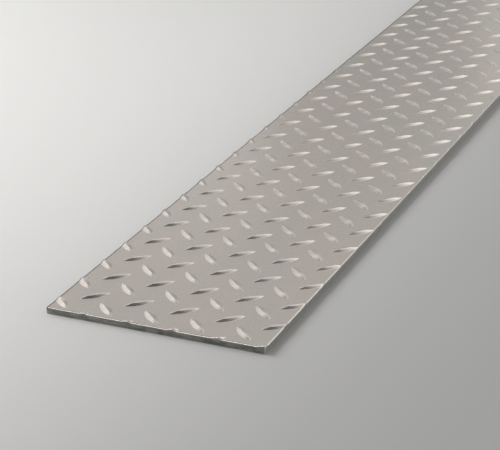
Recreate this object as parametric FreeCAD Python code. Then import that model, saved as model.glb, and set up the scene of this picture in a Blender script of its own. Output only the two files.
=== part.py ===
import FreeCAD, Part
import os

# Aluminium tread plate: one strip sheared from rolled sheet, lying on its plain back, pattern side up.
#
# The origin is the middle of the underside. +X runs across the strip, +Y along it and +Z up.
# The solid is the sheet itself. The lugs of the tread are fine relief on its upper face, which
# stands a little above this solid and isn't part of it.

# Driving dimensions, in millimetres
strip_width = 203.2        # 8 in, across the rolling direction
strip_length = 1219.2      # 4 ft, along the rolling direction
sheet_thickness = 6.35     # 1/4 in, measured between the lugs
shear_roll_over = 0.8      # radius that the shear blade draws down along the upper edges
burr_break = 0.4           # flat filed along the lower edges, where the burr was

LEVEL_TOLERANCE = 1e-6     # how near an edge's ends lie to a height to count as on it


def sheared_blank():
    """The strip as a square-edged block, centred on the origin, with its underside at height zero."""
    corner = FreeCAD.Vector(-strip_width / 2, -strip_length / 2, 0)
    return Part.makeBox(strip_width, strip_length, sheet_thickness, corner)


def edges_at_height(solid, height):
    """The edges of a solid that lie level at one height."""
    return [
        edge
        for edge in solid.Edges
        if all(abs(vertex.Z - height) < LEVEL_TOLERANCE for vertex in edge.Vertexes)
    ]


def roll_upper_edges(solid):
    """Round the four upper edges, as a shear leaves them."""
    return solid.makeFillet(shear_roll_over, edges_at_height(solid, sheet_thickness))


def break_lower_edges(solid):
    """Take the burr off the four lower edges."""
    return solid.makeChamfer(burr_break, edges_at_height(solid, 0))


def tread_plate():
    """The finished sheet, as one solid."""
    return break_lower_edges(roll_upper_edges(sheared_blank()))


def export(name, shape):
    """Write one sub-part as parts/NAME.step and print its size."""
    box = shape.BoundBox
    size = f"{box.XLength:.2f} x {box.YLength:.2f} x {box.ZLength:.2f} mm"
    print(f"{name}: {size}, {shape.Volume:.0f} mm3")
    shape.exportStep(os.path.join("parts", f"{name}.step"))


os.makedirs("parts", exist_ok=True)
export("tread_plate", tread_plate())
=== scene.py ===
import math

import bmesh
import bpy
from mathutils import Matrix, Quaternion, Vector


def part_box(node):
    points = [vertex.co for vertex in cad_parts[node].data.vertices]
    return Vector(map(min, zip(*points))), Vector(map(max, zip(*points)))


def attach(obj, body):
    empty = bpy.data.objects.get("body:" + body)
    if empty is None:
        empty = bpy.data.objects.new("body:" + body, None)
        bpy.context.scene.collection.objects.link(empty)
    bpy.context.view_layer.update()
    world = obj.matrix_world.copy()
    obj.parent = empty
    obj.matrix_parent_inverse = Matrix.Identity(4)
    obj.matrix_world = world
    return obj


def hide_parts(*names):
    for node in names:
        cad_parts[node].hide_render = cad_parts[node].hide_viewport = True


# Aluminium tread plate: one sheared strip, pattern side up, on a pale floor. Metres.
#
# The whole strip is one closed mesh. A square tile of sheet with one lug on it is modelled once.
# Tiles lie side by side like a chessboard turned 45 degrees, with the lug turned a quarter turn
# on every other one. The strip is then cut out of the tiled sheet as the shear does it, right
# through the lugs that lie in its way.

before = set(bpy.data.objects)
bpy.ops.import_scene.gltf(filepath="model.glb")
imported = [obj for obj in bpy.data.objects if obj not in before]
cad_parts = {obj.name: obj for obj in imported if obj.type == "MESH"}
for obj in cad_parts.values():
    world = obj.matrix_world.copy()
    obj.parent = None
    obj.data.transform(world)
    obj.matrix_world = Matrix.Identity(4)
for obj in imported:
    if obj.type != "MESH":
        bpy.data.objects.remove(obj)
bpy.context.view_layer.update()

MM = 0.001

LOW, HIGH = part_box("tread_plate")
SHEET_TOP = HIGH.z                      # the flat face between the lugs
HALF_WIDTH = HIGH.x
HALF_LENGTH = HIGH.y

# The tread pattern
PITCH = 42.15 * MM                      # from a lug to the next one that points the same way
TILE = PITCH / math.sqrt(2)             # side of the square that holds one lug
LUG_LENGTH = 29.2 * MM
LUG_WIDTH = 8.9 * MM
LUG_HEIGHT = 1.5 * MM
LUG_SKIRT = 0.25 * MM                   # flat ring round the foot of a lug
PATTERN_TURN = math.radians(1.16)       # how far out of line with the rolls the strip was sheared
PATTERN_START = (-1.225 * PITCH, 0.345 * PITCH - HALF_LENGTH)    # a lug near the near left corner
PAIRS_ACROSS = 7
PAIRS_ALONG = 31

# The sheared edges
ROLL_OVER = 0.8 * MM                    # how far the blade draws the upper edge down
BURR_BREAK = 0.4 * MM                   # flat filed along the lower edge
BURNISHED = 2.9 * MM                    # height of the polished band that the blade leaves
BREAK_STEP = 0.25 * MM                  # height of the slope below that band
BREAK_SETBACK = 0.12 * MM               # how far the broken part below it lies back
PAINTED_SHADE_LINE = 1.2 * MM                    # width of the painted shade line along the left edge

# The finishes
ROUGHNESS = 0.25
GRAIN_DEPTH = 0.004 * MM                # relief of the rolled face
BREAK_DEPTH = 0.05 * MM                 # relief of the sheared face
RUBBED_FROM = 0.45                      # share of a lug's height above which it is rubbed bright
WARM_GREY = (0.685, 0.620, 0.565)
COOL_GREY = (0.655, 0.620, 0.560)
DULL_GREY = (0.580, 0.540, 0.492)
RUBBED_BRIGHT = (0.82, 0.79, 0.75)
# The cut face's colours: partly the duller cut metal, partly painted shade that keeps the near end dark.
EDGE_LIGHT = (0.36, 0.365, 0.34)
EDGE_DARK = (0.20, 0.205, 0.19)
PAINTED_LIGHT_RIGHT_EDGE = (0.68, 0.68, 0.635)         # painted light: the right edge, paler than the ends

# The stage
FLOOR_RADIUS = 40.0
PAINTED_LIT_FLOOR = (0.56, 0.555, 0.543)      # painted light: paler to the left of the strip
PAINTED_SHADED_FLOOR = (0.375, 0.372, 0.364)    # painted shade: greyer to the right of it
PAINTED_FALLOFF_REACH = 0.3                      # how far to each side the painted light goes on changing
LIT_SPOT = Vector((0, -0.25, 0))
LIGHT_DISTANCE = 2.3
WALL_BRIGHTNESS = (
    (0, 0.35), (8, 0.50), (16, 0.25), (24, 0.71), (32, 0.40),
    (42, 0.93), (56, 0.06), (70, 0.08), (90, 0.40),
)

# The camera
CAMERA_AROUND = math.radians(23.82)
CAMERA_HEIGHT = math.radians(23.27)
CAMERA_ROLL = math.radians(0.77)        # clockwise, seen from behind the camera
CAMERA_DISTANCE = 1.7188
FRAME_WIDTH = 36
LENS = 131.7
AIM = Vector((-0.0108, 0.227 - HALF_LENGTH, SHEET_TOP))

MERGE_WITHIN = 0.004 * MM
NEARLY = 0.002 * MM
SMOOTH_UP_TO = math.radians(40)         # flatter angles between faces are shaded smooth


# ---------------------------------------------------------------- modelling helpers

def choose(piece):
    """Makes the piece the only selected object."""
    bpy.ops.object.select_all(action="DESELECT")
    bpy.context.view_layer.objects.active = piece
    piece.select_set(True)


def open_mesh(piece):
    """Opens the piece's mesh for editing by its points, with nothing picked."""
    choose(piece)
    bpy.ops.object.mode_set(mode="EDIT")
    bpy.ops.mesh.select_mode(type="VERT")
    bpy.ops.mesh.select_all(action="DESELECT")


def close_mesh():
    bpy.ops.object.mode_set(mode="OBJECT")


def pick(piece, wanted):
    """Selects the points of the open mesh whose place is wanted, and no others."""
    mesh = bmesh.from_edit_mesh(piece.data)
    for point in mesh.verts:
        point.select_set(wanted(point.co))
    mesh.select_flush_mode()
    bmesh.update_edit_mesh(piece.data)


def extrude(rise):
    bpy.ops.mesh.extrude_region_move(TRANSFORM_OT_translate={"value": (0, 0, rise)})


def scale(x, y, z, about):
    bpy.ops.transform.resize(value=(x, y, z), center_override=about)


def turn_flat(angle, about):
    """Turns what is selected anticlockwise, seen from above. In background the tool turns the other way."""
    bpy.ops.transform.rotate(value=-angle, orient_axis="Z", center_override=about)


# ---------------------------------------------------------------- one tile with its lug

TILE_MIDDLE = (0, 0, SHEET_TOP)
POINTS_ROUND = 16
# The round outline is drawn in towards its two tips: angle from the tip, and the share of width kept.
DRAWN_IN = ((22.5, 0.50), (45.0, 0.78), (67.5, 0.94))
# The lug's contours from the foot up: share of the length, of the width and of the height.
CONTOURS = ((1.0, 1.0, 0.0), (0.94, 0.88, 0.14), (0.50, 0.20, 0.84), (0.26, 0.0, 1.0))


def tile_border():
    """A square of 16 points with nothing in it."""
    bpy.ops.object.select_all(action="DESELECT")
    bpy.ops.mesh.primitive_grid_add(x_subdivisions=4, y_subdivisions=4, size=TILE, location=TILE_MIDDLE)
    tile = bpy.context.object
    tile.name = "lug_tile"
    bpy.ops.object.transform_apply(location=True)
    open_mesh(tile)
    pick(tile, lambda place: max(abs(place.x), abs(place.y)) < TILE / 2 - MM)
    bpy.ops.mesh.delete(type="VERT")
    return tile


def lug_outline(tile):
    """Adds the ring round the foot of the lug, which points along X."""
    half_length = LUG_LENGTH / 2 + LUG_SKIRT
    half_width = LUG_WIDTH / 2 + LUG_SKIRT
    bpy.ops.mesh.primitive_circle_add(vertices=POINTS_ROUND, radius=half_length, location=TILE_MIDDLE)
    scale(1, half_width / half_length, 1, TILE_MIDDLE)
    for angle, kept in DRAWN_IN:
        reach = half_length * math.cos(math.radians(angle))
        pick(tile, lambda place: abs(abs(place.x) - reach) < NEARLY and NEARLY < abs(place.y) < half_width)
        scale(1, kept, 1, TILE_MIDDLE)
    bpy.ops.mesh.select_all(action="SELECT")
    bpy.ops.mesh.bridge_edge_loops()
    pick(tile, lambda place: max(abs(place.x), abs(place.y)) < TILE / 2 - NEARLY)
    return half_length, half_width


def lug_tile():
    """A square of sheet with one lug on it."""
    tile = tile_border()
    length, width = lug_outline(tile)
    height = 0.0
    for length_share, width_share, height_share in CONTOURS:
        extrude((height_share - height) * LUG_HEIGHT)
        new_length = length_share * LUG_LENGTH / 2
        new_width = width_share * LUG_WIDTH / 2
        scale(new_length / length, new_width / width, 1, TILE_MIDDLE)
        length, width, height = new_length, new_width, height_share
    close_mesh()
    return tile


# ---------------------------------------------------------------- the tiled sheet

def place_tile(tile, angle, x, y):
    choose(tile)
    turn_flat(angle, (0, 0, 0))
    bpy.ops.transform.translate(value=(x, y, 0))
    bpy.ops.object.transform_apply(location=True, rotation=True)


def tile_pair():
    """Two tiles corner to corner, with their lugs square to each other."""
    first = lug_tile()
    choose(first)
    bpy.ops.object.duplicate()
    second = bpy.context.object
    place_tile(first, math.radians(-45), 0, 0)
    place_tile(second, math.radians(45), PITCH / 2, PITCH / 2)
    first.select_set(True)
    second.select_set(True)
    bpy.context.view_layer.objects.active = first
    bpy.ops.object.join()
    return first


def repeat(piece, count, offset):
    rows = piece.modifiers.new("rows", "ARRAY")
    rows.count = count
    rows.use_relative_offset = False
    rows.use_constant_offset = True
    rows.constant_offset_displace = offset


def tiled_sheet():
    """The rolled sheet, larger than the strip, with its pattern where the strip needs it."""
    sheet = tile_pair()
    sheet.name = "tread_plate_strip"
    bpy.ops.transform.translate(value=(-2 * PITCH, -PITCH, 0))
    bpy.ops.object.transform_apply(location=True)
    repeat(sheet, PAIRS_ACROSS, (PITCH, 0, 0))
    repeat(sheet, PAIRS_ALONG, (0, PITCH, 0))
    choose(sheet)
    for modifier in list(sheet.modifiers):
        bpy.ops.object.modifier_apply(modifier=modifier.name)
    turn_flat(PATTERN_TURN, (0, 0, 0))
    bpy.ops.transform.translate(value=(*PATTERN_START, 0))
    bpy.ops.object.transform_apply(location=True, rotation=True)
    open_mesh(sheet)
    bpy.ops.mesh.select_all(action="SELECT")
    bpy.ops.mesh.remove_doubles(threshold=MERGE_WITHIN)
    close_mesh()
    return sheet


# ---------------------------------------------------------------- shearing the strip out of it

def inset(place):
    """How far a place lies inside the strip's outline."""
    return min(HALF_WIDTH - abs(place.x), HALF_LENGTH - abs(place.y))


def cut_all_round(distance, keep_outside):
    """Cuts the sheet along the outline, that far inside it."""
    sides = (
        ((HALF_WIDTH - distance, 0, 0), (1, 0, 0)),
        ((distance - HALF_WIDTH, 0, 0), (-1, 0, 0)),
        ((0, HALF_LENGTH - distance, 0), (0, 1, 0)),
        ((0, distance - HALF_LENGTH, 0), (0, -1, 0)),
    )
    for point, outwards in sides:
        bpy.ops.mesh.select_all(action="SELECT")
        bpy.ops.mesh.bisect(
            plane_co=point, plane_no=outwards, clear_outer=not keep_outside, threshold=NEARLY / 10
        )


def draw_down_edge(sheet):
    """Rounds the upper edge over, as the shear blade does."""
    steps = [math.radians(angle) for angle in (22.5, 45.0, 67.5, 90.0)]
    cut_all_round(ROLL_OVER + LUG_SKIRT, True)
    cut_all_round(ROLL_OVER, True)
    for step in steps[:-1]:
        cut_all_round(ROLL_OVER * (1 - math.sin(step)), True)
    for step in steps:
        distance = ROLL_OVER * (1 - math.sin(step))
        pick(sheet, lambda place: abs(inset(place) - distance) < NEARLY)
        bpy.ops.transform.translate(value=(0, 0, -ROLL_OVER * (1 - math.cos(step))))


def ring_down(level, setback):
    """Carries the picked outline down to a level, that far inside where it was."""
    extrude(-MM)
    scale(1, 1, 0, (0, 0, level))
    scale(1 - setback / HALF_WIDTH, 1 - setback / HALF_LENGTH, 1, (0, 0, level))


def sheared_faces(sheet):
    """The four side faces and the plain back."""
    pick(sheet, lambda place: inset(place) < NEARLY)
    burnish_end = SHEET_TOP - ROLL_OVER - BURNISHED
    ring_down(burnish_end, 0)
    ring_down(burnish_end - BREAK_STEP, BREAK_SETBACK)
    ring_down(LOW.z + BURR_BREAK, 0)
    ring_down(LOW.z, BURR_BREAK)
    bpy.ops.mesh.edge_face_add()
    bpy.ops.mesh.select_all(action="SELECT")
    bpy.ops.mesh.remove_doubles(threshold=MERGE_WITHIN)
    bpy.ops.mesh.normals_make_consistent(inside=False)


def strip():
    sheet = tiled_sheet()
    open_mesh(sheet)
    cut_all_round(0, False)
    draw_down_edge(sheet)
    sheared_faces(sheet)
    close_mesh()
    return sheet


# ---------------------------------------------------------------- finishes

def node(tree, kind, settings=(), inputs=()):
    """Adds a shader node. An input is a plain value or the output that feeds it."""
    made = tree.nodes.new("ShaderNode" + kind)
    for name, value in dict(settings).items():
        setattr(made, name, value)
    for name, value in dict(inputs).items():
        if isinstance(value, bpy.types.NodeSocket):
            tree.links.new(value, made.inputs[name])
        else:
            made.inputs[name].default_value = value
    return made


def metal(name, roughness):
    """A new bare metal, and its tree, its shader and the place on the object."""
    material = bpy.data.materials.new(name)
    material.use_nodes = True
    tree = material.node_tree
    shader = tree.nodes["Principled BSDF"]
    shader.inputs["Metallic"].default_value = 1.0
    shader.inputs["Roughness"].default_value = roughness
    place = node(tree, "TexCoord").outputs["Object"]
    return material, tree, shader, place


def grain(tree, place, per_metre, detail=2.0, turn=0.0):
    """Noise with its own fineness along each axis, from 0 to 1."""
    stretched = node(tree, "Mapping", inputs={
        "Vector": place, "Rotation": (0, 0, math.radians(turn)), "Scale": per_metre,
    })
    noise = node(tree, "TexNoise", inputs={
        "Vector": stretched.outputs[0], "Scale": 1.0, "Detail": detail, "Roughness": 0.6,
    })
    return noise.outputs["Fac"]


def between(tree, value, low, high, to_low=0.0, to_high=1.0):
    """Carries a value from one range to another, and no further."""
    made = node(tree, "MapRange", {"interpolation_type": "SMOOTHSTEP"}, {
        "Value": value, "From Min": low, "From Max": high, "To Min": to_low, "To Max": to_high,
    })
    return made.outputs["Result"]


def plus_share(tree, value, share, base):
    """base + share * value"""
    made = node(tree, "Math", {"operation": "MULTIPLY_ADD"})
    for socket, given in zip(made.inputs, (value, share, base)):
        if isinstance(given, bpy.types.NodeSocket):
            tree.links.new(given, socket)
        else:
            socket.default_value = given
    return made.outputs[0]


def tint(tree, factor, low, high):
    """A colour between two, by a factor. Either may be a colour that comes from another node."""
    made = tree.nodes.new("ShaderNodeMix")
    made.data_type = "RGBA"
    tree.links.new(factor, made.inputs["Factor"])
    for socket, given in ((made.inputs[6], low), (made.inputs[7], high)):
        if isinstance(given, bpy.types.NodeSocket):
            tree.links.new(given, socket)
        else:
            socket.default_value = (*given, 1)
    return made.outputs[2]


def height_on(tree, place):
    """How high a place on the object lies."""
    return node(tree, "SeparateXYZ", inputs={"Vector": place}).outputs["Z"]


def across(tree, place):
    """How far to the right a place on the object lies."""
    return node(tree, "SeparateXYZ", inputs={"Vector": place}).outputs["X"]


def painted_shade_left_edge(tree, place):
    """0 in the painted shade line along the left edge, and 1 elsewhere."""
    return between(tree, across(tree, place), PAINTED_SHADE_LINE - HALF_WIDTH, 2 * PAINTED_SHADE_LINE - HALF_WIDTH)


def scratches(tree, place, turn):
    """Thin, long and sparse marks, 1 in a mark and 0 elsewhere."""
    fine = grain(tree, place, (11, 900, 11), 1.0, turn)
    patches = grain(tree, place, (13, 17, 13), 1.0, turn)
    marks = between(tree, fine, 0.70, 0.76)
    present = between(tree, patches, 0.52, 0.66)
    return node(tree, "Math", {"operation": "MULTIPLY"}, {0: marks, 1: present}).outputs[0]


def mill_finish():
    """Rolled face: a soft sheen with lines along the rolling direction, lugs rubbed bright on top."""
    material, tree, shader, place = metal("mill_finish", ROUGHNESS)
    lines = grain(tree, place, (1500, 14, 900), 3.0)
    bands = grain(tree, place, (60, 1.2, 60), 2.0)
    mottle = grain(tree, place, (17, 9, 17), 2.0)
    smudges = grain(tree, place, (38, 30, 38), 4.0)
    marks = plus_share(tree, scratches(tree, place, 38), 1.0, scratches(tree, place, -57))
    rubbed_from = SHEET_TOP + RUBBED_FROM * LUG_HEIGHT
    rubbed = between(tree, height_on(tree, place), rubbed_from, SHEET_TOP + LUG_HEIGHT)

    colour = tint(tree, between(tree, mottle, 0.36, 0.64), WARM_GREY, COOL_GREY)
    colour = tint(tree, plus_share(tree, bands, 0.5, -0.1), colour, DULL_GREY)
    colour = tint(tree, plus_share(tree, rubbed, 0.75, 0.0), colour, RUBBED_BRIGHT)
    # painted shade: a dark line along the left edge, in the cut face's dark colour
    colour = tint(tree, painted_shade_left_edge(tree, place), EDGE_DARK, colour)
    tree.links.new(colour, shader.inputs["Base Color"])

    roughness = plus_share(tree, lines, 0.08, ROUGHNESS - 0.08)
    roughness = plus_share(tree, smudges, 0.10, roughness)
    roughness = plus_share(tree, marks, 0.05, roughness)
    roughness = plus_share(tree, rubbed, -0.05, roughness)
    tree.links.new(roughness, shader.inputs["Roughness"])

    relief = plus_share(tree, marks, -0.25, lines)
    bump = node(tree, "Bump", inputs={"Height": relief, "Distance": GRAIN_DEPTH, "Strength": 1.0})
    tree.links.new(bump.outputs[0], shader.inputs["Normal"])
    return material


def sheared_edge():
    """Cut face: drawn smooth under the upper edge, broken and grainy below, and with painted light on the
    right edge.
    """
    material, tree, shader, place = metal("sheared_edge", 0.5)
    level = height_on(tree, place)
    drawn = grain(tree, place, (1300, 1300, 45), 2.0)
    crystals = grain(tree, place, (2600, 2600, 1500), 3.0)
    blotches = grain(tree, place, (90, 90, 260), 2.0)
    burnish_end = SHEET_TOP - ROLL_OVER - BURNISHED
    smooth = between(tree, level, burnish_end - BREAK_STEP, burnish_end)

    # the cut face's colour, dark partly as painted shade
    colour = tint(tree, between(tree, blotches, 0.35, 0.65), EDGE_DARK, EDGE_LIGHT)
    colour = tint(tree, plus_share(tree, crystals, 0.5, 0.0), colour, EDGE_DARK)
    # painted light: the right side face coloured paler than the ends
    painted_light_on_right_edge = between(tree, across(tree, place), HALF_WIDTH - MM, HALF_WIDTH - 0.5 * MM)
    colour = tint(tree, plus_share(tree, painted_light_on_right_edge, 0.9, 0.0), colour, PAINTED_LIGHT_RIGHT_EDGE)
    tree.links.new(colour, shader.inputs["Base Color"])
    tree.links.new(plus_share(tree, smooth, -0.12, 0.52), shader.inputs["Roughness"])

    rough = node(tree, "Math", {"operation": "SUBTRACT"}, {0: 1.0, 1: smooth}).outputs[0]
    broken = node(tree, "Math", {"operation": "MULTIPLY"}, {0: crystals, 1: rough}).outputs[0]
    relief = plus_share(tree, drawn, 0.35, broken)
    bump = node(tree, "Bump", inputs={"Height": relief, "Distance": BREAK_DEPTH, "Strength": 1.0})
    tree.links.new(bump.outputs[0], shader.inputs["Normal"])
    return material


def give_finishes(plate):
    """The rolled face above and below, and the sheared face all round.

    The left edge keeps the sheared colour up to the top, as painted shade along that rim.
    """
    plate.data.materials.append(mill_finish())
    plate.data.materials.append(sheared_edge())
    open_mesh(plate)
    bpy.ops.mesh.select_mode(type="FACE")
    mesh = bmesh.from_edit_mesh(plate.data)
    for face in mesh.faces:
        place = face.calc_center_median()
        # on the left edge the rounded rim takes the darker sheared finish: painted shade
        on_top = place.z > SHEET_TOP - ROLL_OVER and place.x > ROLL_OVER - HALF_WIDTH
        underneath = face.normal.z < -0.9
        face.select_set(not (on_top or underneath))
    bmesh.update_edit_mesh(plate.data)
    plate.active_material_index = 1
    bpy.ops.object.material_slot_assign()
    close_mesh()


# ---------------------------------------------------------------- floor, light and camera

def pale_floor():
    material = bpy.data.materials.new("pale_floor")
    material.use_nodes = True
    tree = material.node_tree
    shader = tree.nodes["Principled BSDF"]
    place = node(tree, "TexCoord").outputs["Object"]
    # painted light: the floor's colour goes from pale on the left to grey on the right, as light falling
    # off
    painted_light_falloff = between(tree, across(tree, place), -PAINTED_FALLOFF_REACH, PAINTED_FALLOFF_REACH)
    colour = tint(tree, painted_light_falloff, PAINTED_LIT_FLOOR, PAINTED_SHADED_FLOOR)
    tree.links.new(colour, shader.inputs["Base Color"])
    shader.inputs["Roughness"].default_value = 0.85
    shader.inputs["Specular IOR Level"].default_value = 0.15
    return material


def floor():
    bpy.ops.object.select_all(action="DESELECT")
    bpy.ops.mesh.primitive_circle_add(
        vertices=96, radius=FLOOR_RADIUS, fill_type="NGON", location=(0, 0, LOW.z)
    )
    ground = bpy.context.object
    ground.name = "floor"
    bpy.ops.object.transform_apply(location=True)
    ground.data.materials.append(pale_floor())


def studio_walls():
    """A soft surround: its brightness by height above the horizon, in degrees."""
    surround = bpy.data.worlds.new("studio")
    bpy.context.scene.world = surround
    surround.use_nodes = True
    tree = surround.node_tree
    height = height_on(tree, node(tree, "TexCoord").outputs["Generated"])
    ramp = node(tree, "ValToRGB", inputs={0: height})
    ramp.color_ramp.interpolation = "LINEAR"
    steps = ramp.color_ramp.elements
    while len(steps) < len(WALL_BRIGHTNESS):
        steps.new(0.5)
    for step, (angle, brightness) in zip(steps, WALL_BRIGHTNESS):
        step.position = math.sin(math.radians(angle))
        step.color = (brightness, brightness, brightness, 1)
    tree.links.new(ramp.outputs[0], tree.nodes["Background"].inputs["Color"])


def softbox(name, around, height, width, depth, brightness, distance=LIGHT_DISTANCE, in_reflections=True):
    """A soft panel that faces the plate. Around is its angle to the left of the plate's far end."""
    left, up = math.radians(around), math.radians(height)
    towards = Vector((-math.cos(up) * math.sin(left), math.cos(up) * math.cos(left), math.sin(up)))
    place = LIT_SPOT + distance * towards
    turn = (-towards).to_track_quat("-Z", "Y").to_euler()
    bpy.ops.object.light_add(type="AREA", location=place, rotation=turn)
    panel = bpy.context.object
    panel.name = name
    panel.data.shape = "RECTANGLE"
    panel.data.size = width
    panel.data.size_y = depth
    panel.data.energy = brightness * math.pi * width * depth
    panel.visible_camera = False
    panel.visible_glossy = in_reflections


def lights():
    softbox("left_panel", 68, 30, 1.5, 1.4, 0.45)
    softbox("far_left_panel", 95, 30, 1.4, 1.4, 2.2)
    softbox("back_panel", -10, 48, 1.6, 1.4, 0.56)
    softbox("right_back_panel", -25, 40, 1.4, 1.2, 0.30)
    softbox("low_back_panel", -14, 11, 2.2, 0.8, 0.31)
    softbox("low_left_panel", 40, 10, 1.2, 0.8, 0.56)
    softbox("front_panel", 156, 28, 1.2, 0.8, 2.8)
    softbox("right_panel", -55, 9, 1.4, 0.6, 2.2)
    softbox("floor_panel", 100, 34, 1.1, 0.8, 7.2, distance=1.6, in_reflections=False)


def camera():
    back = Vector((
        math.sin(CAMERA_AROUND) * math.cos(CAMERA_HEIGHT),
        -math.cos(CAMERA_AROUND) * math.cos(CAMERA_HEIGHT),
        math.sin(CAMERA_HEIGHT),
    ))
    level = (-back).to_track_quat("-Z", "Y")
    turn = (level @ Quaternion((0, 0, 1), -CAMERA_ROLL)).to_euler()
    bpy.ops.object.camera_add(location=AIM + back * CAMERA_DISTANCE, rotation=turn)
    view = bpy.context.object
    view.data.sensor_width = FRAME_WIDTH
    view.data.lens = LENS
    bpy.context.scene.camera = view


def main():
    plate = strip()
    give_finishes(plate)
    choose(plate)
    bpy.ops.object.shade_smooth_by_angle(angle=SMOOTH_UP_TO)
    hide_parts("tread_plate")
    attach(plate, "root")
    floor()
    studio_walls()
    lights()
    camera()
    bpy.context.scene.view_settings.view_transform = "Standard"


main()
